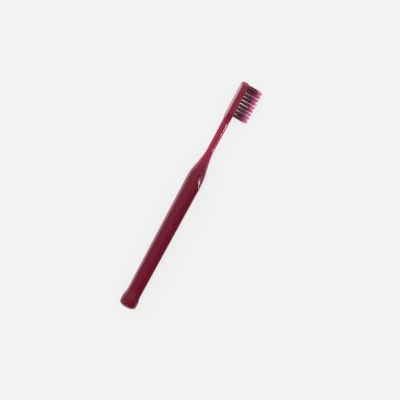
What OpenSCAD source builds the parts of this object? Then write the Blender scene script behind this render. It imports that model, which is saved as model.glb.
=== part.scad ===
// A manual toothbrush, lying on its side with the bristles turned a little down.
// The brush is drawn in its own frame first: x runs from the foot to the head along the axis of the
// handle, y points the way the bristles point, z is across the head. Then it is turned over and rolled
// about its axis until the grip and the lowest bristle tips touch the surface it lies on.

/* [Whole brush] */
// Length from the foot's flat end to the tip of the head
brush_l = 190; // [178:0.5:205]

/* [Foot] */
// Diameter of the round foot
foot_d = 13.3; // [12.6:0.1:15]
// Diameter of the flat at the foot's end
foot_flat_d = 4.4; // [3:0.1:8]
// Length of the rounding between that flat and the rim
foot_round_l = 3.2; // [1.5:0.1:4]
// Length of the foot, up to where its rim starts to fall to the rounded edges of the grip
foot_l = 7; // [6:0.1:9]

/* [Grip] */
// Distance across opposite flats of the grip, at the shoulder
grip_shoulder_af = 12.1; // [11:0.02:12.6]
// How far the flats lie below the foot's rim, where they leave the foot
flat_step = 1.3; // [1.1:0.05:1.6]
// Radius of the rounded edges between the flats
edge_r = 1.8; // [1:0.1:2.6]
// Distance from the foot's end to where the flats have run out of the foot
grip_start = 12; // [10:0.1:14]
// Radius of the scoop in which each flat and edge rises into the foot
scoop_r = 16; // [10:0.5:20]
// Number of flats around the grip
flats = 6; // [6]

/* [Shoulder] */
// Length over which the grip thins towards the neck, from where it is widest
shoulder_l = 29.6; // [26:0.1:36]
// Length over which the grip narrows across the head's width
shoulder_side_l = 21.5; // [18:0.5:26]
// Play between the grip's rounded edges and the full width of the shoulder's form
shoulder_over = 0.15; // [0.1:0.01:0.4]

/* [Neck] */
// Length of the neck, from where the shoulder has become round to the head's bristle plate
neck_l = 28.5; // [24:0.5:34]
// Diameter of the neck where it leaves the shoulder
neck_d = 5.4; // [4.6:0.02:6]
// Diameter of the neck where it meets the head
neck_head_d = 5.56; // [4.6:0.02:6]
// Length over which the neck spreads into the head
neck_spread = 8; // [8:0.5:14]

/* [Head] */
// Length of the head's bristle plate
head_l = 28; // [27:0.5:34]
// Width of the head
head_w = 8.6; // [8.2:0.1:11]
// Distance from the axis to the head's bristle face
head_front = 2; // [1.4:0.1:2.4]
// Distance from the axis to the back of the head
head_back = 3; // [2.6:0.1:3.6]
// Radius of the head's end, seen from the bristles
head_end_r = 4; // [3:0.1:5]
// Radius of the head's end edge, seen from the side
head_edge_r = 1.4; // [0.8:0.1:1.7]

/* [Bristles] */
// Rows of tufts along the head
tuft_rows = 9; // [6:1:9]
// Columns of tufts across the head
tuft_columns = 3; // [3:1:4]
// Distance between rows
row_pitch = 2.94; // [2.6:0.01:3]
// Distance between columns
column_pitch = 2.2; // [2.1:0.01:2.6]
// Distance from the middle of the last row to the head's tip
last_row_inset = 2.3; // [2.2:0.1:4]
// How far the outer tufts of the row nearest the neck are drawn in towards the middle of the head
first_row_bow = 0.7; // [0:0.05:1.3]
// How far the outer tufts of the row nearest the tip are drawn in towards the middle of the head
last_row_bow = 1.2; // [0:0.05:1.3]
// Diameter of a tuft hole
hole_d = 1.8; // [1.6:0.02:1.84]
// Depth of a tuft hole
hole_depth = 3.2; // [2.6:0.1:3.6]
// Distance from the bristle face to the bristle tips
trim_h = 11.9; // [9:0.1:13]
// Play between the folded bristles and the hole
tuft_play = 0.02; // [0.01:0.01:0.05]
// Strands in the inner ring of a tuft
inner_strands = 4; // [3:1:4]
// Strands in the outer ring of a tuft
outer_strands = 10; // [7:1:10]
// Width of a strand at its root
strand_w = 0.36; // [0.3:0.01:0.38]
// How far a tuft's outer strands lean outwards on their way to the tips
strand_lean = 0.14; // [0:0.01:0.2]
// How much lower a tuft is trimmed at its rim than in its middle
tip_dome = 0.3; // [0:0.05:0.6]

/* [Anchors] */
// Length of an anchor plate, which bites into both walls of its hole
anchor_l = 2.14; // [1.9:0.02:2.3]
// Height of an anchor plate
anchor_h = 1.4; // [1:0.05:1.6]
// Thickness of an anchor plate
anchor_t = 0.3; // [0.2:0.02:0.36]
// Distance from the bottom of the hole to the anchor, where the folded bristles pass under it
anchor_lift = 0.45; // [0.35:0.05:0.7]
// Angle between the anchor plates and the brush's length
anchor_turn = 30; // [15:1:40]

/* [Hidden] */
// Small overrun of every cut
over = 0.5;
// Facets of round surfaces
round_fn = 72;
tuft_fn = 24;
// Points around one section of the shoulder, neck and head, and steps along their curves
ring_points = 56;
dome_steps = 7;
cove_steps = 8;
edge_steps = 6;
shoulder_steps = 20;
spread_steps = 12;
end_steps = 8;
// Squareness of a section: 2 is an ellipse, more is a rounded rectangle, less is a soft diamond
round_power = 2;
head_power = 8;
shoulder_front_power = 1.7;
shoulder_back_power = 2.6;
// Share of the shoulder's length over which its sections take that shape, and at which they leave it
power_in_share = 0.22;
power_out_share = 0.42;
// Share of the neck's spread that lies before the bristle plate
spread_lead_share = 0.7;
// Share of a strand's root width that is left at its tip
strand_tip_share = 0.62;
// Share of the tuft's radius at which the inner ring of strands stands
inner_ring_share = 0.3;
// Share of the end rows' bow that pushes the inner tufts outwards
inner_bow_share = 0.5;
// Corners of a strand
strand_sides = 3;

foot_r = foot_d / 2;
flat_foot_r = foot_r - flat_step;
flat_shoulder_r = grip_shoulder_af / 2;
neck_r = neck_d / 2;
neck_head_r = neck_head_d / 2;
head_half_w = head_w / 2;

head_start = brush_l - head_l;
shoulder_end = head_start - neck_l;
shoulder_start = shoulder_end - shoulder_l;
shoulder_side_start = shoulder_end - shoulder_side_l;
spread_start = head_start - neck_spread * spread_lead_share;
spread_end = spread_start + neck_spread;
plate_end = brush_l - head_end_r;

flat_angle = 360 / flats;

// Distance from the axis to a rounded edge's own centre and to its outside, from that to the flats
function edge_centre(flat_r) = (flat_r - edge_r) / cos(flat_angle / 2);
function edge_reach(flat_r) = edge_centre(flat_r) + edge_r;

// Length of a scoop that rises from a low radius to the foot's rim
function scoop_l(low_r) = sqrt(pow(scoop_r, 2) - pow(scoop_r - foot_r + low_r, 2));

edge_foot_r = edge_reach(flat_foot_r);
cove_l = scoop_l(edge_foot_r);
scoop_start = grip_start - scoop_l(flat_foot_r) - over;
full_r = edge_reach(flat_shoulder_r) + shoulder_over;
zone_r = full_r + foot_r;

hole_r = hole_d / 2;
plug_r = hole_r - tuft_play;
hole_bottom = head_front - hole_depth;
anchor_bottom = hole_bottom + anchor_lift;
tip_y = head_front + trim_h;
ring_r = plug_r - strand_w / 2;
inner_ring = plug_r * inner_ring_share;
first_row = brush_l - last_row_inset - (tuft_rows - 1) * row_pitch;
middle_row = (tuft_rows - 1) / 2;
middle_column = (tuft_columns - 1) / 2;

// Height of a strand's tip and its place from the middle of its tuft, for a strand that starts on a ring
function tip_height(ring) = tip_y - tip_dome * pow(ring / ring_r, 2);
function tip_place(ring) = ring * (1 + strand_lean / ring_r);

// The roll that brings the lowest tips down to the surface that the grip lies on
outer_column = middle_column * column_pitch;
strand_tip_r = strand_w / 2 * strand_tip_share;
low_tip_y = tip_height(ring_r);
low_tip_z = outer_column + tip_place(ring_r) + strand_tip_r;
roll = asin(foot_r / norm([low_tip_y, low_tip_z])) - atan2(low_tip_z, low_tip_y);
// How far the rolled brush reaches on its bristle side, to centre it over its origin
reach_z = outer_column + tip_place(inner_ring) + strand_tip_r;
reach_front = tip_height(inner_ring) * cos(roll) + reach_z * sin(roll);
side_shift = (reach_front - foot_r) / 2;

handle_color = [0.55, 0.1, 0.22];
bristle_color = [0.72, 0.33, 0.5];
anchor_color = [0.8, 0.68, 0.4];

rows = [for (r = [1:tuft_rows]) r];
columns = [for (c = [1:tuft_columns]) c];
tuft_names = [for (r = rows, c = columns) str("tuft_row_", r, "_column_", c)];

// 0 before the start, 1 after the end, and a soft turn between
function ease(s, start, end) = (1 - cos(180 * min(1, max(0, (s - start) / (end - start))))) / 2;
function mix(a, b, u) = a + (b - a) * u;

// Half sizes of the section at distance s from the foot's end
function shoulder_half(s, start) = mix(full_r, neck_r, ease(s, start, shoulder_end));
function neck_half(s) = mix(0, neck_head_r - neck_r, ease(s, shoulder_end, spread_start));
function end_cut(s, r) = s <= brush_l - r ? 0 : r - sqrt(max(0, r * r - pow(s - brush_l + r, 2)));
function stem_half(s, start) = shoulder_half(s, start) + neck_half(s);
function spread(s) = ease(s, spread_start, spread_end);
function half_front(s) = mix(stem_half(s, shoulder_start), head_front, spread(s)) - end_cut(s, head_edge_r);
function half_back(s) = mix(stem_half(s, shoulder_start), head_back, spread(s)) - end_cut(s, head_edge_r);
function half_side(s) =
  mix(stem_half(s, shoulder_side_start), head_half_w, spread(s)) - end_cut(s, head_end_r);
function shoulder_share(s) = (s - shoulder_start) / (shoulder_end - shoulder_start);
function shoulder_bend(s) =
  ease(shoulder_share(s), 0, power_in_share) * (1 - ease(shoulder_share(s), power_out_share, 1));
function power(s, shoulder_power) =
  mix(mix(round_power, shoulder_power, shoulder_bend(s)), head_power, spread(s));

// One coordinate of a rounded section, from the cosine or sine of its angle
function bulge(v, p) = sign(v) * pow(abs(v), 2 / p);
function section_point(s, a) =
  let (p = power(s, cos(a) > 0 ? shoulder_front_power : shoulder_back_power))
  [
    s,
    bulge(cos(a), p) * (cos(a) > 0 ? half_front(s) : half_back(s)),
    bulge(sin(a), p) * half_side(s)
  ];

// Places along the handle at which the soft form has a section
stem_places = concat(
  [shoulder_start - over],
  [for (i = [0:shoulder_steps]) mix(shoulder_start, shoulder_end, i / shoulder_steps)],
  [for (i = [0:spread_steps]) mix(spread_start, spread_end, i / spread_steps)],
  [for (i = [0:end_steps]) plate_end + head_end_r * sin(90 * i / end_steps)]
);

// Sweeps rings of points, the same number in each, into one closed solid of triangles
module skin(rings) {
  count = len(rings[0]);
  last = len(rings) - 1;
  points = [for (ring = rings) each ring];
  walls = [
    for (k = [0:last - 1], i = [0:count - 1])
      let (j = (i + 1) % count, a = k * count, b = a + count)
      each [[a + i, b + i, a + j], [a + j, b + i, b + j]]
  ];
  first_cap = [for (i = [1:count - 2]) [0, i, i + 1]];
  last_cap = [for (i = [1:count - 2]) [last * count, last * count + i + 1, last * count + i]];
  polyhedron(points = points, faces = concat(walls, first_cap, last_cap));
}

// How high a scoop stands over its low end, at a distance before that end
function scoop_rise(back) = scoop_r - sqrt(pow(scoop_r, 2) - pow(back, 2));

// The turned form of the foot: a dome, the rim, and a cove that falls to the grip's edges
module foot_form() {
  dome = [
    for (i = [0:dome_steps])
      [
        mix(foot_flat_d / 2, foot_r, sin(90 * i / dome_steps)),
        foot_round_l * (1 - cos(90 * i / dome_steps))
      ]
  ];
  cove = [
    for (i = [0:cove_steps])
      let (back = cove_l * (1 - i / cove_steps))
      [edge_foot_r + scoop_rise(back), foot_l + cove_l - back]
  ];
  profile = concat(
    [[0, 0]],
    dome,
    cove,
    [[zone_r, shoulder_start], [zone_r, brush_l + over], [0, brush_l + over]]
  );
  rotate([0, 90, 0]) rotate_extrude($fn = round_fn) polygon(profile);
}

// Distance from the axis to the flats: a scoop near the foot, then a straight taper
function flat_r(s) =
  s < grip_start
    ? flat_foot_r + scoop_rise(grip_start - s)
    : mix(flat_foot_r, flat_shoulder_r, (s - grip_start) / (shoulder_start - grip_start));

// One section of the grip: flats joined by rounded edges
function grip_ring(s) =
  let (centre = edge_centre(flat_r(max(s, scoop_start))))
  [
    for (i = [0:flats - 1], j = [0:edge_steps])
      let (edge = (i + 0.5) * flat_angle, a = edge + (j / edge_steps - 0.5) * flat_angle)
      [s, centre * cos(edge) + edge_r * cos(a), centre * sin(edge) + edge_r * sin(a)]
  ];

// The six-sided form of the grip, which opens out in scoops towards the foot
module grip_form() {
  scoop_places = [for (i = [0:cove_steps]) mix(scoop_start, grip_start, i / cove_steps)];
  skin([for (s = concat([-over], scoop_places, [brush_l + over])) grip_ring(s)]);
}

// The soft form of the shoulder, neck and head, with room for the whole grip behind it
module soft_form() {
  turn = 360 / ring_points;
  rotate([0, 90, 0]) translate([0, 0, -over]) cylinder(h = shoulder_start + over, r = zone_r, $fn = round_fn);
  skin([for (s = stem_places) [for (i = [0:ring_points - 1]) section_point(s, turn * (i + 0.5))]]);
}

// Middle of a tuft: the outer tufts of the end rows are drawn in, and the inner ones pushed out
function row_bow(r) =
  let (reach = (r - 1 - middle_row) / middle_row)
  pow(reach, 3) * (reach < 0 ? first_row_bow : last_row_bow);
function is_outer(c) = c == 1 || c == tuft_columns;
function tuft_x(r, c) =
  first_row + (r - 1) * row_pitch + row_bow(r) * (is_outer(c) ? inner_bow_share - 1 : inner_bow_share);
function tuft_z(c) = (c - 1 - middle_column) * column_pitch;

// Puts its children on the hole of one tuft, with their own z pointing out of the hole
module at_tuft(r, c) {
  translate([tuft_x(r, c), 0, tuft_z(c)]) rotate([-90, 0, 0]) children();
}

module anchor_plate() {
  rotate([0, 0, anchor_turn]) translate([-anchor_l / 2, -anchor_t / 2, anchor_bottom])
    cube([anchor_l, anchor_t, anchor_h]);
}

// One strand, a thin tapered prism that leans outwards as it rises
module strand(angle, ring) {
  spin = 360 / strand_sides;
  root = [ring, strand_w / 2, head_front - hole_r];
  tip = [tip_place(ring), strand_tip_r, tip_height(ring)];
  rotate([0, 0, angle]) skin([
    for (end = [root, tip])
      [for (i = [0:strand_sides - 1]) [end[0] + end[1] * cos(spin * i), end[1] * sin(spin * i), end[2]]]
  ]);
}

// Turns the brush from its own frame onto its side and onto the surface
module lay() {
  translate([-brush_l / 2, side_shift, foot_r]) rotate([180 + roll, 0, 0]) children();
}

module handle() {
  color(handle_color) lay() difference() {
    intersection() {
      foot_form();
      grip_form();
      soft_form();
    }
    for (r = rows, c = columns)
      at_tuft(r, c) {
        translate([0, 0, hole_bottom]) cylinder(h = hole_depth + over, d = hole_d, $fn = tuft_fn);
        anchor_plate();
      }
  }
}

module tuft(r, c) {
  color(bristle_color) lay() at_tuft(r, c) {
    difference() {
      translate([0, 0, hole_bottom]) cylinder(h = hole_depth, r = plug_r, $fn = tuft_fn);
      anchor_plate();
    }
    for (i = [0:inner_strands - 1])
      strand(360 * i / inner_strands, inner_ring);
    for (i = [0:outer_strands - 1])
      strand(360 * i / outer_strands, ring_r);
  }
}

module tuft_anchors() {
  color(anchor_color) lay()
    for (r = rows, c = columns)
      at_tuft(r, c) anchor_plate();
}

handle();
for (r = rows, c = columns)
  tuft(r, c);
tuft_anchors();
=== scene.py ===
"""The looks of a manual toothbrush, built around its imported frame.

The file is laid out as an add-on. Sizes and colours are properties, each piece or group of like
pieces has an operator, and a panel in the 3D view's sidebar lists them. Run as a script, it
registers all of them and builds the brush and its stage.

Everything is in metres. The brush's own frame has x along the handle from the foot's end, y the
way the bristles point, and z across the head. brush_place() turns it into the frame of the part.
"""

import math
import random

import bpy
from bpy.props import FloatProperty, FloatVectorProperty, IntProperty, PointerProperty
from mathutils import Matrix, Vector


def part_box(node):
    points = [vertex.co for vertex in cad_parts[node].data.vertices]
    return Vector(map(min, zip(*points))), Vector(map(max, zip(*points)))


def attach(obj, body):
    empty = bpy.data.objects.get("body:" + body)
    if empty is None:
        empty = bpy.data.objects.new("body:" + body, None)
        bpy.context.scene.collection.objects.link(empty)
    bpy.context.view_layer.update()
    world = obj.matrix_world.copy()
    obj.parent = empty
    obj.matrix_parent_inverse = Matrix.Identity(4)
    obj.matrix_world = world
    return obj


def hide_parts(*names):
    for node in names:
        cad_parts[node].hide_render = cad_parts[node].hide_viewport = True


bl_info = {
    "name": "Toothbrush looks",
    "version": (1, 0, 0),
    "blender": (4, 5, 0),
    "location": "3D View > Sidebar > Toothbrush",
    "description": "Builds the handle, bristles, anchors and a plain stage of a manual toothbrush",
    "category": "Object",
}

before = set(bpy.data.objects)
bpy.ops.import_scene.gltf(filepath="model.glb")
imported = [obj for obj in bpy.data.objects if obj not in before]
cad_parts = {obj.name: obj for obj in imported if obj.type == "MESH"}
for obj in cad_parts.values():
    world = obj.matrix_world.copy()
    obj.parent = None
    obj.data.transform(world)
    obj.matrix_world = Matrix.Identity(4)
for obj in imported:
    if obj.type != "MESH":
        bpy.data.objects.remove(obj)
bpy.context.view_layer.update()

MM = 0.001
# Gap between the surface and the lowest strands
SURFACE_GAP = 0.05 * MM
# Edges that turn more than this stay sharp
SHARP_ANGLE = math.radians(35)
HOLE_SIDES = 32
STRAND_SIDES = 5
STRAND_PARTS = 7
TUFT_PREFIX = "tuft_row_"
TUFTS = sorted(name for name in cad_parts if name.startswith(TUFT_PREFIX))
FIRST_TUFT = "tuft_row_1_column_1"
LAST_TUFT = "tuft_row_1_column_3"


def length(name, about, millimetres):
    """A size that a user may change, shown in the panel as a length."""
    return FloatProperty(
        name=name, description=about, default=millimetres * MM, unit="LENGTH", precision=5
    )


def share(name, about, value):
    """A number between 0 and 1."""
    return FloatProperty(
        name=name, description=about, default=value, min=0, max=1, subtype="FACTOR"
    )


def colour(name, about, value):
    """A linear colour."""
    return FloatVectorProperty(
        name=name, description=about, default=value, size=3, min=0, max=1, subtype="COLOR"
    )


def count(name, about, value):
    """A whole number."""
    return IntProperty(name=name, description=about, default=value, min=1)


# Sizes and colours


class HandleSizes(bpy.types.PropertyGroup):
    """Sizes of the one-piece handle, measured from the foot's end"""

    foot_flat_d: length("Foot flat", "Diameter of the flat at the foot's end", 4.4)
    foot_round_l: length("Foot rounding", "Length of the rounding up to the rim", 3.2)
    foot_l: length("Foot", "Length of the foot up to where its rim falls to the grip", 7)
    flat_step: length("Flat step", "How far the flats lie below the foot's rim", 1.3)
    shoulder_af: length("Grip across flats", "Size across the flats at the shoulder", 12.1)
    edge_r: length("Grip edge radius", "Radius of the rounded edges between flats", 2.2)
    grip_start: length("Grip start", "Where the flats have run out of the foot", 12)
    scoop_r: length("Scoop radius", "Radius in which flats and edges rise to the foot", 16)
    flats: count("Flats", "Number of flats around the grip", 6)
    shoulder_l: length("Shoulder", "Length over which the grip thins to the neck", 29.6)
    shoulder_side_l: length("Shoulder side", "Length over which the grip narrows sideways", 21.5)
    shoulder_over: length("Shoulder play", "Play between the grip and the shoulder's form", 0.15)
    neck_l: length("Neck", "Length from the end of the shoulder to the head", 28.5)
    neck_d: length("Neck diameter", "Diameter where the neck leaves the shoulder", 5.4)
    neck_head_d: length("Neck diameter at head", "Diameter where it meets the head", 5.56)
    neck_spread: length("Neck spread", "Length over which the neck spreads into the head", 8)
    head_l: length("Head", "Length of the bristle plate", 28)
    head_w: length("Head width", "Width of the bristle plate", 8.6)
    head_front: length("Head front", "From the axis to the bristle face", 2)
    head_back: length("Head back", "From the axis to the back of the head", 3)
    head_end_r: length("Head end radius", "Radius of the head's end, from the bristles", 4)
    head_edge_r: length("Head edge radius", "Radius of its end edge, from the side", 1.4)
    hole_d: length("Hole", "Diameter of a tuft hole", 1.8)
    hole_depth: length("Hole depth", "Depth of a tuft hole", 3.2)
    back_scoop: length("Back scoop", "How much further the scoops reach at the back", 2)
    foot_soft: length("Foot edge softness", "Width of the soft edges of the scoops", 0.15)
    facet_soft: length("Facet edge softness", "Width of the facet's soft edge", 0.06)
    shoulder_soft: length("Shoulder edge softness", "Width of its soft edges", 0.4)
    end_s: length("Flat end", "Where the flats beside the bristles start to end", 103.5)
    end_across: length("Flat end across", "How far that is from the flat's middle", 1.84)
    end_slope: share("Flat end slope", "How far the end runs across for its way along", 0.52)
    end_tilt: share("Facet tilt", "How much the facet behind that end is tilted", 0.079)
    lip_h: length("Lip height", "Height of the fine lip in which a flat ends", 0.33)
    lip_l: length("Lip length", "Length over which the lip rises from the flat", 1.1)
    lip_fade_l: length("Lip fade", "Length over which it runs out in the shoulder", 2)
    ring_points: count("Ring points", "Points around one section of the handle", 288)


class BristleSizes(bpy.types.PropertyGroup):
    """Sizes of the tufts and their strands"""

    trim_h: length("Trim height", "From the bristle face to the tips", 12.9)
    root_depth: length("Root depth", "How deep in its hole a strand starts", 1.3)
    root_r: length("Strand root radius", "Radius of a strand at its root", 0.1)
    tip_r: length("Strand tip radius", "Radius of a strand just below its tip", 0.045)
    spread_r: length("Tuft radius", "Radius over which the strands stand in the hole", 0.78)
    lean: length("Tuft lean", "How far the outer strands lean outwards", 0.33)
    stray: length("Stray", "How far a tip may stray from its place", 0.38)
    bow_h: length("Bow height", "Height over which a strand takes most of its lean", 1.5)
    tip_drop: length("Tip drop", "How much shorter a strand may be than its neighbours", 0.7)
    rim_drop: length("Rim drop", "How much shorter the outer strands are", 1.7)
    strands: count("Strands", "Strands in one tuft", 44)
    tuft_kinds: count("Tuft kinds", "Tufts that are modelled before they are copied", 3)
    taper_start: share("Taper start", "Share of a strand at which it starts to thin", 0.6)


class Finishes(bpy.types.PropertyGroup):
    """Colours of the plastic, the strands, the metal and the floor"""

    plastic_thick: colour("Plastic, thick", "Deep red of the thick grip", (0.178, 0.0045, 0.025))
    # The thin colour is a painted glow: a lighter red for light that passes through the thin neck
    plastic_thin_painted_glow: colour("Plastic, thin", "Lighter red of the thin neck", (0.36, 0.012, 0.056))
    plastic_haze: colour("Plastic haze", "Glow of the plastic at its rims", (1, 0.12, 0.32))
    back_haze: colour("Back haze", "Pale sheen of the head's fine back", (1, 0.93, 0.95))
    # Root and middle are partly the strands' colour and partly painted shade deep in the tufts
    bristle_root_and_shade: colour("Bristle root", "Dark foot of the strands", (0.19, 0.058, 0.07))
    bristle_middle_and_shade: colour("Bristle middle", "Middle of the strands", (0.18, 0.028, 0.07))
    bristle_upper: colour("Bristle upper part", "Where they turn pink", (0.58, 0.058, 0.22))
    bristle_pink: colour("Bristle pink", "Full pink below the tips", (0.98, 0.2, 0.5))
    bristle_tip: colour("Bristle tip", "Pale pink of the thin tips", (1, 0.45, 0.75))
    bristle_haze: colour("Bristle haze", "Glow of the thin tips", (1, 0.15, 0.5))
    anchor: colour("Anchor", "Metal of the anchors", (0.75, 0.62, 0.36))
    floor: colour("Floor", "Pale surface the brush lies on", (0.9, 0.915, 0.915))


class StageSettings(bpy.types.PropertyGroup):
    """Camera and light"""

    aim: FloatVectorProperty(
        name="Aim",
        description="Point of the surface in the middle of the picture",
        default=(1.45 * MM, -6.966 * MM, 6.65 * MM),
        size=3,
        subtype="TRANSLATION",
        unit="LENGTH",
    )
    picture_w: length("Picture width", "Width of the picture at the brush", 298.6)
    camera_h: length("Camera height", "Height of the camera over the brush", 900)
    brush_turn: FloatProperty(
        name="Brush turn",
        description="Turn of the handle from upright in the picture",
        default=math.radians(28.254),
        subtype="ANGLE",
        unit="ROTATION",
    )
    ambient: FloatProperty(
        name="Ambient", description="Strength of the even light", default=0.85, min=0
    )
    key_w: FloatProperty(
        name="Key light", description="Power of the large soft lamp", default=2.4, unit="POWER"
    )
    glint_w: FloatProperty(
        name="Glint light", description="Power of the small low lamp", default=0.005, unit="POWER"
    )
    lip_w: FloatProperty(
        name="Lip light", description="Power of the lamp for the lip", default=0.0017, unit="POWER"
    )
    shadow_share: share("Shadow", "Share of its shadow that the floor keeps", 0.15)
    mirrored_shadow_share: share("Mirrored shadow", "Share of it that reflections show", 0.6)


# Helpers


def settings():
    """The values that the panel shows."""
    return bpy.context.scene.toothbrush_looks


def deselect():
    """Leaves no object selected, so that the next operator acts on its own piece alone."""
    for piece in bpy.context.selected_objects:
        piece.select_set(False)


def pick(*pieces):
    """Selects these pieces alone and makes the first one active."""
    deselect()
    for piece in pieces:
        piece.select_set(True)
    bpy.context.view_layer.objects.active = pieces[0]


def started(name):
    """Names the primitive that has just been added."""
    piece = bpy.context.object
    if piece is None:
        raise RuntimeError(f"{name} was not added")
    piece.name = name
    piece.data.name = name
    return piece


def copied(piece, name):
    """A copy of a piece with its own mesh."""
    copy = piece.copy()
    copy.data = piece.data.copy()
    copy.name = name
    copy.data.name = name
    bpy.context.scene.collection.objects.link(copy)
    return copy


def settle(piece, place):
    """Puts a piece that was modelled in the brush's own frame where the frame has it."""
    pick(piece)
    piece.matrix_world = place
    bpy.ops.object.transform_apply(location=True, rotation=True, scale=True)


def brush_place():
    """Turn and place of the brush's own frame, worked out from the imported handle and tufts."""
    low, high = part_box("handle")
    foot_r = (high.z - low.z) / 2
    across = middle(LAST_TUFT) - middle(FIRST_TUFT)
    roll = math.atan2(across.y, -across.z)
    start = Vector((low.x, high.y - foot_r, low.z + foot_r))
    return Matrix.Translation(start) @ Matrix.Rotation(math.pi + roll, 4, "X")


def middle(node):
    """Middle of a CAD node's box."""
    low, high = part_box(node)
    return (low + high) / 2


def ease(s, start, end):
    """0 before the start, 1 after the end, and a soft turn between."""
    t = min(1.0, max(0.0, (s - start) / (end - start)))
    return (1 - math.cos(math.pi * t)) / 2


def mix(a, b, t):
    """The value between two at a share of the way."""
    return a + (b - a) * t


def soft_min(a, b, softness):
    """The smaller of two radii, rounded off where they cross."""
    overlap = max(softness - abs(a - b), 0) / softness
    return min(a, b) - overlap * overlap * softness / 4


# Handle


class HandleForm:
    """The handle's radius at a distance from the foot's end and an angle from the bristles."""

    # Shape of a section: 2 is an ellipse, more is squarer, less is a soft diamond
    ROUND = 2
    HEAD = 8
    SHOULDER_FRONT = 1.7
    SHOULDER_BACK = 2.6
    # Shares of the shoulder over which its sections take and leave their own shape
    SHAPE_IN = 0.22
    SHAPE_OUT = 0.42
    # Share of the neck's spread that lies before the bristle plate
    SPREAD_LEAD = 0.7
    # Rings in the foot's dome and in the rounded tip
    DOME_RINGS = 12
    END_RINGS = 14
    # How far the fine rings reach before the flat end and past the shoulder's side start
    FINE_LEAD = 4 * MM
    # How far before the flat end the lip starts, and where along that end it fades
    LIP_RISE_L = 3 * MM
    LIP_FADE_START = 7 * MM
    LIP_FADE_END = 10.5 * MM
    # Angles from the bristles over which the lip rises and over which it fades
    LIP_RISE_TURN = (0.1, 0.5)
    LIP_FADE_TURN = (1.6, 1.9)
    # Share of the lip's rise that lies past the flat's edge
    LIP_CREST = 0.25
    # Where a facet leans less than this towards a point, it cuts nothing off there
    LEAST_LEAN = 0.2
    # Where the textured back starts before the head, and where it ends before the tip
    BACK_LEAD = 3 * MM
    BACK_FADE_START = 3.6 * MM
    BACK_FADE_END = 2.4 * MM
    # Angles from the bristles over which the textured back starts
    BACK_TURN = (math.radians(116), math.radians(128))
    # Painted glow: less light shows through the head than the neck, from a slanted line on, more at
    # the tip
    HEAD_SLANT = 0.8
    HEAD_LEAD = 1 * MM
    HEAD_DARKER = 0.5
    TIP_LIGHTER = 0.4

    def __init__(self, sizes):
        low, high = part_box("handle")
        self.z = sizes
        self.brush_l = high.x - low.x
        self.foot_r = (high.z - low.z) / 2
        self.head_start = self.brush_l - sizes.head_l
        self.shoulder_end = self.head_start - sizes.neck_l
        self.shoulder_start = self.shoulder_end - sizes.shoulder_l
        self.side_start = self.shoulder_end - sizes.shoulder_side_l
        self.spread_start = self.head_start - sizes.neck_spread * self.SPREAD_LEAD
        self.spread_end = self.spread_start + sizes.neck_spread
        self.half_flat = math.pi / sizes.flats
        self.flat_foot_r = self.foot_r - sizes.flat_step
        self.edge_foot_r = self.edge_centre(self.flat_foot_r) + sizes.edge_r
        self.cove_end = sizes.foot_l + self.scoop_l(self.edge_foot_r)
        self.full_r = (
            self.edge_centre(sizes.shoulder_af / 2) + sizes.edge_r + sizes.shoulder_over
        )

    def scoop_l(self, low_r):
        """Length of a scoop that rises from a radius to the foot's rim."""
        r = self.z.scoop_r
        return math.sqrt(r * r - (r - self.foot_r + low_r) ** 2)

    def scoop_rise(self, back):
        """How high a scoop stands at a distance before its low end."""
        r = self.z.scoop_r
        return r - math.sqrt(r * r - min(r, back) ** 2)

    def edge_centre(self, flat_r):
        """Distance from the axis to the centre of a rounded edge."""
        return (flat_r - self.z.edge_r) / math.cos(self.half_flat)

    def scoop_shift(self, angle):
        """How much further than the bristles' side a scoop reaches at an angle."""
        return self.z.back_scoop * (1 - math.cos(angle)) / 2

    def foot_radius(self, s, angle):
        """The foot: dome, rim and the cove behind it."""
        z = self.z
        cove_end = self.cove_end + self.scoop_shift(angle)
        if s < z.foot_round_l:
            turn = math.acos(1 - s / z.foot_round_l)
            return mix(z.foot_flat_d / 2, self.foot_r, math.sin(turn))
        if s < cove_end - self.cove_end + z.foot_l:
            return self.foot_r
        if s < cove_end:
            return self.edge_foot_r + self.scoop_rise(cove_end - s)
        return math.inf

    def grip_radius(self, s, angle):
        """The flats and the rounded edges between them."""
        z = self.z
        grip_start = z.grip_start + self.scoop_shift(angle)
        if s < grip_start:
            flat_r = self.flat_foot_r + self.scoop_rise(grip_start - s)
        else:
            taper = (s - grip_start) / (self.shoulder_start - grip_start)
            flat_r = mix(self.flat_foot_r, z.shoulder_af / 2, taper)
        off = abs((angle + self.half_flat) % (2 * self.half_flat) - self.half_flat)
        if math.tan(off) * flat_r < (flat_r - z.edge_r) * math.tan(self.half_flat):
            return flat_r / math.cos(off)
        centre, off = self.edge_centre(flat_r), self.half_flat - off
        return centre * math.cos(off) + math.sqrt(
            z.edge_r**2 - (centre * math.sin(off)) ** 2
        )

    def stem(self, s, start):
        """Half size of the shoulder and neck, before the neck spreads."""
        z = self.z
        shoulder = mix(self.full_r, z.neck_d / 2, ease(s, start, self.shoulder_end))
        swell = ease(s, self.shoulder_end, self.spread_start)
        return shoulder + swell * (z.neck_head_d - z.neck_d) / 2

    def end_cut(self, s, r):
        """How much the rounding of the head's end takes off."""
        into = s - self.brush_l + r
        return r - math.sqrt(max(0, r * r - into * into)) if into > 0 else 0

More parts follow.
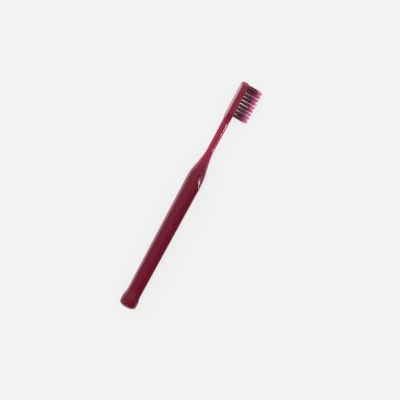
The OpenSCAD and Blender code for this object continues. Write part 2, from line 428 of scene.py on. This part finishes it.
    def soft_radius(self, s, angle):
        """The shoulder, neck and head."""
        if s < self.shoulder_start:
            return math.inf
        z = self.z
        spread = ease(s, self.spread_start, self.spread_end)
        along = (s - self.shoulder_start) / z.shoulder_l
        bend = ease(along, 0, self.SHAPE_IN) * (1 - ease(along, self.SHAPE_OUT, 1))
        front = math.cos(angle) > 0
        shaped = self.SHOULDER_FRONT if front else self.SHOULDER_BACK
        power = mix(mix(self.ROUND, shaped, bend), self.HEAD, spread)
        head_depth = z.head_front if front else z.head_back
        deep = mix(self.stem(s, self.shoulder_start), head_depth, spread)
        wide = mix(self.stem(s, self.side_start), z.head_w / 2, spread)
        deep -= self.end_cut(s, z.head_edge_r)
        wide -= self.end_cut(s, z.head_end_r)
        bulge = abs(math.cos(angle) / deep) ** power + abs(math.sin(angle) / wide) ** power
        return bulge ** (-1 / power)

    def facet_radius(self, s, angle, flat_r):
        """The facet behind the slanted end of a flat beside the bristles."""
        z = self.z
        off = 2 * self.half_flat - abs(angle)
        tilt = z.end_tilt / math.hypot(1, z.end_slope)
        lean = math.cos(off) + tilt * math.sin(off)
        if lean < self.LEAST_LEAN:
            return math.inf
        return (flat_r + tilt * (z.end_across - z.end_slope * (s - z.end_s))) / lean

    def lip(self, s, angle, r):
        """A fine raised lip along that end."""
        z = self.z
        across = r * math.sin(2 * self.half_flat - abs(angle)) - z.end_across
        past = (across + z.end_slope * (s - z.end_s)) / math.hypot(1, z.end_slope)
        crest = z.lip_l * self.LIP_CREST
        rise = ease(past, crest - z.lip_l, crest) - ease(past, crest, crest + z.lip_fade_l)
        beside = ease(abs(angle), *self.LIP_RISE_TURN) - ease(abs(angle), *self.LIP_FADE_TURN)
        into = s - z.end_s
        along = ease(into, -self.LIP_RISE_L, 0) - ease(into, self.LIP_FADE_START, self.LIP_FADE_END)
        return z.lip_h * rise * beside * along

    def radius(self, s, angle):
        """The whole handle, its forms rounded off where they meet."""
        grip = self.grip_radius(s, angle)
        if s < self.z.end_s - self.FINE_LEAD:
            return soft_min(grip, self.foot_radius(s, angle), self.z.foot_soft)
        if s > self.shoulder_end:
            return self.soft_radius(s, angle)
        facet = self.facet_radius(s, angle, self.z.shoulder_af / 2)
        body = soft_min(grip, facet, self.z.facet_soft)
        body = soft_min(body, self.soft_radius(s, angle), self.z.shoulder_soft)
        return body + self.lip(s, angle, grip)

    def back_share(self, s, angle):
        """1 on the finely textured back of the head, 0 elsewhere."""
        along = ease(s, self.spread_start - self.BACK_LEAD, self.spread_end)
        left = self.brush_l - s
        before_end = ease(left, self.BACK_FADE_END, self.BACK_FADE_START)
        return along * before_end * ease(abs(angle), *self.BACK_TURN)

    def painted_glow_share(self, s, y):
        """Painted glow: 0 in the thick grip, 1 in the thin neck, where more light gets through the
        plastic.
        """
        z = self.z
        stem = (self.stem(s, self.side_start) + self.stem(s, self.shoulder_start)) / 2
        thin = min(1, max(0, (self.full_r - stem) / (self.full_r - z.neck_head_d / 2)))
        slanted = s - self.HEAD_SLANT * y
        into_head = ease(slanted, self.spread_start, self.head_start - self.HEAD_LEAD)
        into_tip = ease(s, self.brush_l - z.head_end_r, self.brush_l - z.head_end_r / 2)
        return thin - into_head * self.HEAD_DARKER + into_tip * self.TIP_LIGHTER

    def stations(self):
        """Distances from the foot's end at which the handle gets a ring of points."""
        z = self.z
        quarter = math.pi / 2
        plate_end = self.brush_l - z.head_end_r
        scoops_end = z.grip_start + z.back_scoop + 1 * MM
        fine_start, fine_end = z.end_s - self.FINE_LEAD, self.side_start + self.FINE_LEAD
        # From, to and rings between
        runs = [
            (z.foot_round_l, z.foot_l, 5),
            (z.foot_l, scoops_end, 28),
            (scoops_end, fine_start, 18),
            (fine_start, fine_end, 110),
            (fine_end, self.shoulder_end, 28),
            (self.shoulder_end, self.spread_start, 10),
            (self.spread_start, self.spread_end, 22),
            (self.spread_end, plate_end, 20),
        ]
        n = self.DOME_RINGS
        dome = [z.foot_round_l * (1 - math.cos(quarter * i / n)) for i in range(n)]
        body = [mix(start, end, i / n) for start, end, n in runs for i in range(n)]
        n = self.END_RINGS
        tip = [plate_end + z.head_end_r * math.sin(quarter * i / n) for i in range(n + 1)]
        return dome + body + tip


def face_out(piece):
    """Turns the faces of a closed mesh outwards."""
    pick(piece)
    bpy.ops.object.mode_set(mode="EDIT")
    bpy.ops.mesh.select_all(action="SELECT")
    bpy.ops.mesh.normals_make_consistent(inside=False)
    bpy.ops.object.mode_set(mode="OBJECT")


def give_points(piece, name, value_at):
    """Gives each point of a piece a value that follows from its place."""
    given = piece.data.attributes.new(name, "FLOAT", "POINT")
    for point, value in zip(piece.data.vertices, given.data):
        value.value = value_at(point.co)


def extruded_bar(name, points, stations):
    """A straight bar along z, closed at both ends, with a ring of points at each station."""
    bpy.ops.mesh.primitive_circle_add(vertices=points, radius=1, fill_type="NGON")
    bar = started(name)
    bpy.ops.object.mode_set(mode="EDIT")
    bpy.ops.mesh.select_all(action="SELECT")
    for before, after in zip(stations, stations[1:]):
        bpy.ops.mesh.extrude_region_move(TRANSFORM_OT_translate={"value": (0, 0, after - before)})
    bpy.ops.object.mode_set(mode="OBJECT")
    return bar


def hole_cutter(form, place):
    """One round cutter for each tuft, all in one piece."""
    z = form.z
    depth = z.hole_depth * 2
    bottom = z.head_front - z.hole_depth
    bpy.ops.mesh.primitive_cylinder_add(
        vertices=HOLE_SIDES, radius=z.hole_d / 2, depth=depth, rotation=(math.pi / 2, 0, 0)
    )
    first = started("hole_cutter")
    bpy.ops.object.transform_apply(location=False, rotation=True, scale=False)
    cutters = []
    for node in TUFTS:
        root = tuft_root(node, place, bottom + depth / 2)
        cutter = copied(first, f"cutter_{node}")
        cutter.location = root
        cutters.append(cutter)
    bpy.data.objects.remove(first)
    pick(*cutters)
    bpy.ops.object.transform_apply(location=True, rotation=False, scale=False)
    bpy.ops.object.join()
    return bpy.context.object


def tuft_root(node, place, height):
    """Middle of a tuft in the brush's own frame, at a height over the axis."""
    root = place.inverted() @ middle(node)
    root.y = height
    return root


class TOOTHBRUSH_OT_handle(bpy.types.Operator):
    """Model the handle in one piece: foot, six-sided grip, shoulder, neck and drilled head"""

    bl_idname = "toothbrush.handle"
    bl_label = "Handle"

    def execute(self, context):
        form = HandleForm(settings().handle)
        place = brush_place()
        deselect()
        handle = extruded_bar("handle_body", form.z.ring_points, form.stations())
        for point in handle.data.vertices:
            s, angle = point.co.z, math.atan2(point.co.y, point.co.x)
            r = form.radius(s, angle)
            point.co = (s, r * math.cos(angle), r * math.sin(angle))
        face_out(handle)
        cutter = hole_cutter(form, place)
        pick(handle)
        holes = handle.modifiers.new("tuft_holes", "BOOLEAN")
        holes.operation = "DIFFERENCE"
        holes.solver = "EXACT"
        holes.object = cutter
        bpy.ops.object.modifier_apply(modifier=holes.name)
        bpy.data.objects.remove(cutter)
        # Share of the painted glow of light through the thin plastic, kept on the points as thin
        give_points(handle, "thin", lambda at: form.painted_glow_share(at.x, at.y))
        give_points(
            handle, "textured_back", lambda at: form.back_share(at.x, math.atan2(at.z, at.y))
        )
        settle(handle, place)
        bpy.ops.object.shade_smooth_by_angle(angle=SHARP_ANGLE)
        handle.data.materials.append(handle_plastic())
        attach(handle, "root")
        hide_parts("handle")
        return {"FINISHED"}


# Bristles


def one_strand(z):
    """A thin round strand that stands on the bristle face and tapers to its tip."""
    total = z.trim_h + z.root_depth
    bpy.ops.mesh.primitive_circle_add(
        vertices=STRAND_SIDES, radius=z.root_r, fill_type="NGON", location=(0, 0, -z.root_depth)
    )
    strand = started("strand")
    bpy.ops.object.transform_apply(location=True, rotation=False, scale=False)
    bpy.ops.object.mode_set(mode="EDIT")
    bpy.ops.mesh.select_all(action="SELECT")
    before = z.root_r
    for i in range(1, STRAND_PARTS + 1):
        reach = i / STRAND_PARTS
        r = mix(z.root_r, z.tip_r, ease(reach, z.taper_start, 1.0))
        bpy.ops.mesh.extrude_region_move(
            TRANSFORM_OT_translate={"value": (0, 0, total / STRAND_PARTS)}
        )
        top = (0, 0, total * reach - z.root_depth)
        bpy.ops.transform.resize(value=(r / before, r / before, 1), center_override=top)
        before = r
    bpy.ops.object.mode_set(mode="OBJECT")
    face_out(strand)
    give_points(strand, "reach", lambda at: max(0, at.z / z.trim_h))
    strand.data.attributes.new("tone", "FLOAT", "POINT")
    bpy.ops.object.shade_smooth()
    return strand


def one_tuft(z, strand, kind):
    """A tuft whose strands stand in a spiral, lean outwards and end a little unevenly."""
    chance = random.Random(kind)
    golden_turn = math.pi * (3 - math.sqrt(5))
    strands = []
    for i in range(z.strands):
        out = math.sqrt((i + 0.5) / z.strands)
        turn = golden_turn * i + kind
        foot = Vector((math.cos(turn), math.sin(turn), 0)) * out * z.spread_r
        stray = Vector((chance.uniform(-1, 1), chance.uniform(-1, 1), 0)) * z.stray
        lean = foot.normalized() * out * z.lean
        drop = z.tip_drop * chance.random() ** 2 + z.rim_drop * out**3
        copy = copied(strand, f"strand_{kind}_{i}")
        for point in copy.data.vertices:
            rise = max(0, point.co.z)
            bowed = lean * (1 - math.exp(-rise / z.bow_h)) + stray * (rise / z.trim_h) ** 2
            point.co.z -= drop * rise / z.trim_h
            point.co += foot + bowed
        tone = chance.random()
        for value in copy.data.attributes["tone"].data:
            value.value = tone
        strands.append(copy)
    pick(*strands)
    bpy.ops.object.join()
    tuft = bpy.context.object
    tuft.name = f"tuft_kind_{kind}"
    return tuft


def rest_on_surface(tuft):
    """Bends the strands up where the surface under the brush would stop them."""
    lift = SURFACE_GAP - min(point.co.z for point in tuft.data.vertices)
    if lift <= 0:
        return
    for point, reach in zip(tuft.data.vertices, tuft.data.attributes["reach"].data):
        point.co.z += lift * reach.value


class TOOTHBRUSH_OT_bristles(bpy.types.Operator):
    """Model a strand, gather strands into tufts and stand a tuft in each hole"""

    bl_idname = "toothbrush.bristles"
    bl_label = "Bristles"

    def execute(self, context):
        z = settings().bristles
        face = settings().handle.head_front
        place = brush_place()
        upright = Matrix.Rotation(-math.pi / 2, 4, "X")
        deselect()
        strand = one_strand(z)
        kinds = [one_tuft(z, strand, kind) for kind in range(z.tuft_kinds)]
        bpy.data.objects.remove(strand)
        nylon = bristle_nylon()
        for i, node in enumerate(TUFTS):
            tuft = copied(kinds[i % len(kinds)], node.replace("tuft", "bristles"))
            # Another turn for each tuft, so that copies of one kind don't look alike
            turn = Matrix.Rotation(i, 4, "Z")
            stand = Matrix.Translation(tuft_root(node, place, face))
            settle(tuft, place @ stand @ upright @ turn)
            rest_on_surface(tuft)
            tuft.data.materials.append(nylon)
            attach(tuft, "root")
            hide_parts(node)
        for kind in kinds:
            bpy.data.objects.remove(kind)
        return {"FINISHED"}


class TOOTHBRUSH_OT_anchors(bpy.types.Operator):
    """Give the metal anchors in the tuft holes their finish"""

    bl_idname = "toothbrush.anchors"
    bl_label = "Anchors"

    def execute(self, context):
        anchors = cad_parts["tuft_anchors"]
        anchors.data.materials.clear()
        anchors.data.materials.append(anchor_metal())
        return {"FINISHED"}


# Materials


def feed(tree, node, values):
    """Feeds a node's inputs, each from another node's output, a number or a colour."""
    for name, value in values.items():
        socket = node.inputs[name]
        if isinstance(value, bpy.types.NodeSocket):
            tree.links.new(value, socket)
        else:
            socket.default_value = (*value, 1) if socket.type == "RGBA" else value


def reckoned(tree, operation, *values):
    """What a sum gives for these outputs and numbers."""
    node = tree.nodes.new("ShaderNodeMath")
    node.operation = operation
    feed(tree, node, dict(enumerate(values)))
    return node.outputs["Value"]


def ranged(tree, source, start, end, low=0.0, high=1.0):
    """A value that goes from low to high as its source goes from start to end."""
    node = tree.nodes.new("ShaderNodeMapRange")
    limits = {"From Min": start, "From Max": end, "To Min": low, "To Max": high}
    feed(tree, node, {"Value": source, **limits})
    return node.outputs["Result"]


def from_points(tree, name):
    """The value that a mesh's points have under this name."""
    node = tree.nodes.new("ShaderNodeAttribute")
    node.attribute_name = name
    return node.outputs["Fac"]


def noise(tree, place, scale, detail):
    """An uneven value over a surface."""
    node = tree.nodes.new("ShaderNodeTexNoise")
    feed(tree, node, {"Vector": place, "Scale": scale, "Detail": detail})
    return node.outputs["Fac"]


def blended(tree, factor, first, second):
    """A colour between two."""
    node = tree.nodes.new("ShaderNodeMix")
    node.data_type = "RGBA"
    feed(tree, node, {"Factor": factor, "A": first, "B": second})
    return node.outputs["Result"]


def varied(tree, shade, tone, low, high):
    """A colour whose brightness goes from low to high with the tone."""
    node = tree.nodes.new("ShaderNodeHueSaturation")
    feed(tree, node, {"Color": shade, "Value": ranged(tree, tone, 0, 1, low, high)})
    return node.outputs["Color"]


def shaded(tree, factor, stops):
    """A colour that runs through these stops as the factor goes from 0 to 1."""
    node = tree.nodes.new("ShaderNodeValToRGB")
    elements = node.color_ramp.elements
    while len(elements) < len(stops):
        elements.new(0.5)
    for element, (position, value) in zip(elements, stops):
        element.position = position
        element.color = (*value, 1)
    feed(tree, node, {"Fac": factor})
    return node.outputs["Color"]


def greys(stops):
    """The same stops with each brightness made a grey."""
    return [(position, (value, value, value)) for position, value in stops]


def new_material(name):
    """An empty material with a Principled surface."""
    material = bpy.data.materials.new(name)
    material.use_nodes = True
    tree = material.node_tree
    return material, tree, tree.nodes["Principled BSDF"]


def black_material(name):
    """A material that throws no light back."""
    material, tree, surface = new_material(name)
    feed(tree, surface, {"Base Color": (0, 0, 0), "Specular IOR Level": 0})
    return material, tree, surface


def moulded_skin():
    """A shared group: the slight drift and waviness of a surface that came out of a mould."""
    found = bpy.data.node_groups.get("moulded_skin")
    if found:
        return found
    tree = bpy.data.node_groups.new("moulded_skin", "ShaderNodeTree")
    for name, value in (
        ("Grain Scale", 900.0),
        ("Grain Depth", 0.05),
        ("Roughness", 0.25),
        ("Roughness Drift", 0.06),
    ):
        socket = tree.interface.new_socket(name, in_out="INPUT", socket_type="NodeSocketFloat")
        socket.default_value = value
    for name, kind in (("Tone", "Float"), ("Roughness", "Float"), ("Normal", "Vector")):
        tree.interface.new_socket(name, in_out="OUTPUT", socket_type=f"NodeSocket{kind}")
    given = tree.nodes.new("NodeGroupInput").outputs
    place = tree.nodes.new("ShaderNodeTexCoord").outputs["Object"]
    drift = noise(tree, place, 60, 3)
    grain = noise(tree, place, given["Grain Scale"], 2)
    bump = tree.nodes.new("ShaderNodeBump")
    feed(tree, bump, {"Distance": 0.02 * MM, "Strength": given["Grain Depth"], "Height": grain})
    rough = reckoned(tree, "MULTIPLY_ADD", drift, given["Roughness Drift"], given["Roughness"])
    out = tree.nodes.new("NodeGroupOutput")
    feed(tree, out, {"Tone": drift, "Roughness": rough, "Normal": bump.outputs["Normal"]})
    return tree


def with_skin(tree, surface, values):
    """Gives a surface the moulded skin with its own values, and returns the skin's tone."""
    skin = tree.nodes.new("ShaderNodeGroup")
    skin.node_tree = moulded_skin()
    feed(tree, skin, values)
    feed(tree, surface, {name: skin.outputs[name] for name in ("Roughness", "Normal")})
    return skin.outputs["Tone"]


def handle_plastic():
    """Glossy deep red plastic that lets a little light through, with a painted glow in its thin
    parts.
    """
    colours = settings().finishes
    material, tree, surface = new_material("deep_red_plastic")
    tone = with_skin(
        tree,
        surface,
        {"Grain Scale": 700, "Grain Depth": 0.05, "Roughness": 0.12, "Roughness Drift": 0.06},
    )
    thin, back = from_points(tree, "thin"), from_points(tree, "textured_back")
    # Painted glow: the thin parts get a lighter red that stands in for light through the plastic
    shade = blended(tree, thin, colours.plastic_thick, colours.plastic_thin_painted_glow)
    values = {
        "Base Color": varied(tree, shade, tone, 0.93, 1.07),
        "Sheen Weight": ranged(tree, back, 0, 1, 0.35),
        "Sheen Tint": blended(tree, back, colours.plastic_haze, colours.back_haze),
        "Sheen Roughness": 0.4,
        "IOR": 1.5,
        "Subsurface Weight": 0.3,
        "Subsurface Radius": (1, 0.12, 0.2),
        "Subsurface Scale": 2.5 * MM,
    }
    feed(tree, surface, values)
    return material


def bristle_nylon():
    """Nylon strands, dark at the root and pale pink at the thin tips; the dark root and middle are
    partly painted shade.
    """
    colours = settings().finishes
    material, tree, surface = new_material("bristle_nylon")
    reach, tone = from_points(tree, "reach"), from_points(tree, "tone")
    # The dark root and middle stops are partly painted shade deep in the tufts
    stops = (
        (0.0, colours.bristle_root_and_shade),
        (0.5, colours.bristle_middle_and_shade),
        (0.72, colours.bristle_upper),
        (0.87, colours.bristle_pink),
        (1.0, colours.bristle_tip),
    )
    values = {
        "Base Color": varied(tree, shaded(tree, reach, stops), tone, 0.75, 1.25),
        "Roughness": 0.4,
        "Sheen Weight": ranged(tree, reach, 0.6, 1),
        "Sheen Roughness": 0.6,
        "Sheen Tint": colours.bristle_haze,
    }
    feed(tree, surface, values)
    return material


def anchor_metal():
    """Plain stamped metal."""
    material, tree, surface = new_material("anchor_brass")
    with_skin(
        tree,
        surface,
        {"Grain Scale": 2500, "Grain Depth": 0.3, "Roughness": 0.3, "Roughness Drift": 0.15},
    )
    feed(tree, surface, {"Base Color": settings().finishes.anchor, "Metallic": 1})
    return material


def seen_or_mirrored(tree, seen_share=1.0, mirrored_share=1.0):
    """A share for the camera, one for reflections and what is seen through, 0 for other light."""
    path = tree.nodes.new("ShaderNodeLightPath").outputs
    either = reckoned(tree, "MAXIMUM", path["Is Glossy Ray"], path["Is Transmission Ray"])
    seen = reckoned(tree, "MULTIPLY", path["Is Camera Ray"], seen_share)
    mirrored = reckoned(tree, "MULTIPLY", either, mirrored_share)
    return reckoned(tree, "MAXIMUM", seen, mirrored)


def mixed_shaders(tree, output, share, first, second):
    """Ends a tree in two shaders, with this share of the second."""
    mixed = tree.nodes.new("ShaderNodeMixShader")
    feed(tree, mixed, {"Fac": share, 1: first, 2: second})
    feed(tree, tree.nodes[output], {"Surface": mixed.outputs["Shader"]})


def pale_floor(stage):
    """A plain pale surface that keeps a share of the brush's shadow."""
    pale = settings().finishes.floor
    material, tree, surface = new_material("pale_floor")
    feed(tree, surface, {"Base Color": pale, "Roughness": 0.8, "Specular IOR Level": 0})
    even = tree.nodes.new("ShaderNodeEmission")
    feed(tree, even, {"Color": pale})
    kept = seen_or_mirrored(tree, 1 - stage.shadow_share, 1 - stage.mirrored_shadow_share)
    mixed_shaders(
        tree, "Material Output", kept, surface.outputs["BSDF"], even.outputs["Emission"]
    )
    return material


# Brightness of the tent's cloth, from the bristles' side over the top to the other side
TENT_FOOT = ((0, 0.02), (0.25, 0.03), (0.44, 0.1), (0.66, 0.22), (0.83, 0.55), (1, 0.7))
TENT_HEAD = ((0, 0.14), (0.25, 0.13), (0.35, 0.2), (0.5, 0.14), (0.66, 0.24), (1, 0.26))
TENT_END = 1.7


def tent_cloth():
    """Cloth of a studio tent: dim over the foot, evener over the head, bright past its end."""
    material, tree, surface = black_material("tent_cloth")
    split = tree.nodes.new("ShaderNodeSeparateXYZ")
    feed(tree, split, {"Vector": tree.nodes.new("ShaderNodeTexCoord").outputs["Object"]})
    along, across, up = (split.outputs[axis] for axis in "XYZ")
    lean = reckoned(tree, "ARCTAN2", across, up)
    turn = ranged(tree, lean, -math.pi / 2, math.pi / 2)
    foot = shaded(tree, turn, greys(TENT_FOOT))
    head = shaded(tree, turn, greys(TENT_HEAD))
    sides = blended(tree, ranged(tree, along, -0.02, 0.15), foot, head)
    shade = blended(tree, ranged(tree, along, 1.3, 2.2), sides, (TENT_END,) * 3)
    brighter = ranged(tree, along, -0.3, 0.08, 0.5, 1.9)
    dimmer = ranged(tree, along, 0.5, 1.2, 1, 0.5)
    strength = reckoned(tree, "MULTIPLY", brighter, dimmer)
    feed(tree, surface, {"Emission Color": shade, "Emission Strength": strength})
    return material


# Stage


def aimed(location, target):
    """Turn that points a lamp from its place at a target."""
    return (Vector(target) - Vector(location)).to_track_quat("-Z", "Y").to_euler()


def add_lamp(name, location, size, power, target=(0, 0, 0)):
    """A soft lamp that faces the brush, or one place on it."""
    bpy.ops.object.light_add(type="AREA", location=location, rotation=aimed(location, target))
    lamp = started(name)
    lamp.data.shape = "RECTANGLE"
    lamp.data.size, lamp.data.size_y = size
    lamp.data.energy = power
    return lamp


def add_beam(name, location, size, power, target, spread):
    """A lamp with a narrow beam, which only reflections show."""
    lamp = add_lamp(name, location, size, power, target)
    lamp.data.spread = math.radians(spread)
    lamp.visible_diffuse = False


def studio_world(ambient):
    """Even light on the brush, with a pale background for the camera and for reflections."""
    world = bpy.data.worlds.new("studio")
    bpy.context.scene.world = world
    world.use_nodes = True
    tree = world.node_tree
    even = tree.nodes["Background"]
    feed(tree, even, {"Color": (1, 1, 1), "Strength": ambient})
    pale = tree.nodes.new("ShaderNodeBackground")
    feed(tree, pale, {"Color": settings().finishes.floor})
    shaders = even.outputs["Background"], pale.outputs["Background"]
    mixed_shaders(tree, "World Output", seen_or_mirrored(tree), *shaders)


def studio_tent():
    """A tent over the brush that only reflections see, open at both ends."""
    bpy.ops.mesh.primitive_cylinder_add(
        vertices=64, radius=2, depth=8, end_fill_type="NOTHING", rotation=(0, math.pi / 2, 0)
    )
    tent = started("studio_tent")
    bpy.ops.object.transform_apply(location=True, rotation=True, scale=True)
    tent.data.materials.append(tent_cloth())
    only_mirrored(tent)


def dark_card():
    """A low dark card beside the bristles, which only reflections see."""
    bpy.ops.mesh.primitive_plane_add(
        size=1, location=(-0.235, -0.06, 0.01), rotation=(math.pi / 2, 0, 0)
    )
    card = started("dark_card")
    card.scale = (0.55, 0.02, 1)
    bpy.ops.object.transform_apply(location=True, rotation=True, scale=True)
    card.data.materials.append(black_material("dark_card")[0])
    only_mirrored(card)


def only_mirrored(piece):
    """Leaves a piece of the studio to reflections alone."""
    piece.visible_camera = False
    piece.visible_diffuse = False
    piece.visible_shadow = False
    piece.visible_transmission = False


class TOOTHBRUSH_OT_stage(bpy.types.Operator):
    """Add the floor, the lamps, the tent and the camera"""

    bl_idname = "toothbrush.stage"
    bl_label = "Stage"

    def execute(self, context):
        stage = settings().stage
        context.scene.view_settings.view_transform = "Standard"
        deselect()
        bpy.ops.mesh.primitive_circle_add(vertices=64, radius=6, fill_type="NGON")
        floor = started("floor")
        floor.data.materials.append(pale_floor(stage))
        key = add_lamp("key_lamp", (0.3, 1.1, 0.6), (0.8, 0.8), stage.key_w)
        key.visible_glossy = False
        neck, lip = (0.065, 0, 0), (0.013, -0.003, 0.008)
        add_beam("glint_lamp", (0.1, -0.97, 0.23), (0.06, 0.16), stage.glint_w, neck, 8)
        add_beam("lip_lamp", (-0.062, -0.235, 0.178), (0.066, 0.03), stage.lip_w, lip, 12)
        studio_tent()
        dark_card()
        studio_world(stage.ambient)
        self.add_camera(context, stage)
        return {"FINISHED"}

    def add_camera(self, context, stage):
        """A camera straight over the brush, turned so that the handle leans as in the picture."""
        along, across = math.cos(stage.brush_turn), math.sin(stage.brush_turn)
        right, up = Vector((across, -along, 0)), Vector((along, across, 0))
        turn = Matrix((right, up, right.cross(up))).transposed()
        aim = Vector(stage.aim)
        bpy.ops.object.camera_add(
            location=aim + Vector((0, 0, stage.camera_h)), rotation=turn.to_euler()
        )
        camera = started("camera")
        camera.data.lens = camera.data.sensor_width * stage.camera_h / stage.picture_w
        camera.data.clip_end = 20
        context.scene.camera = camera


# Panel and registration


class ToothbrushLooks(bpy.types.PropertyGroup):
    """All that the panel shows"""

    handle: PointerProperty(type=HandleSizes, name="Handle")
    bristles: PointerProperty(type=BristleSizes, name="Bristles")
    finishes: PointerProperty(type=Finishes, name="Finishes")
    stage: PointerProperty(type=StageSettings, name="Stage")


class TOOTHBRUSH_PT_looks(bpy.types.Panel):
    """Sizes, colours and steps of the toothbrush"""

    bl_label = "Toothbrush"
    bl_idname = "TOOTHBRUSH_PT_looks"
    bl_space_type = "VIEW_3D"
    bl_region_type = "UI"
    bl_category = "Toothbrush"

    def draw(self, context):
        looks = settings()
        for step in STEPS:
            self.layout.operator(step.bl_idname)
        for group in (looks.handle, looks.bristles, looks.finishes, looks.stage):
            box = self.layout.box()
            for name in group.__annotations__:
                box.prop(group, name)


STEPS = (
    TOOTHBRUSH_OT_handle,
    TOOTHBRUSH_OT_bristles,
    TOOTHBRUSH_OT_anchors,
    TOOTHBRUSH_OT_stage,
)
CLASSES = (
    HandleSizes,
    BristleSizes,
    Finishes,
    StageSettings,
    ToothbrushLooks,
    *STEPS,
    TOOTHBRUSH_PT_looks,
)


def register():
    for each in CLASSES:
        bpy.utils.register_class(each)
    bpy.types.Scene.toothbrush_looks = PointerProperty(type=ToothbrushLooks)


def unregister():
    del bpy.types.Scene.toothbrush_looks
    for each in reversed(CLASSES):
        bpy.utils.unregister_class(each)


def main():
    register()
    bpy.ops.toothbrush.handle()
    bpy.ops.toothbrush.bristles()
    bpy.ops.toothbrush.anchors()
    bpy.ops.toothbrush.stage()


if __name__ == "__main__":
    main()
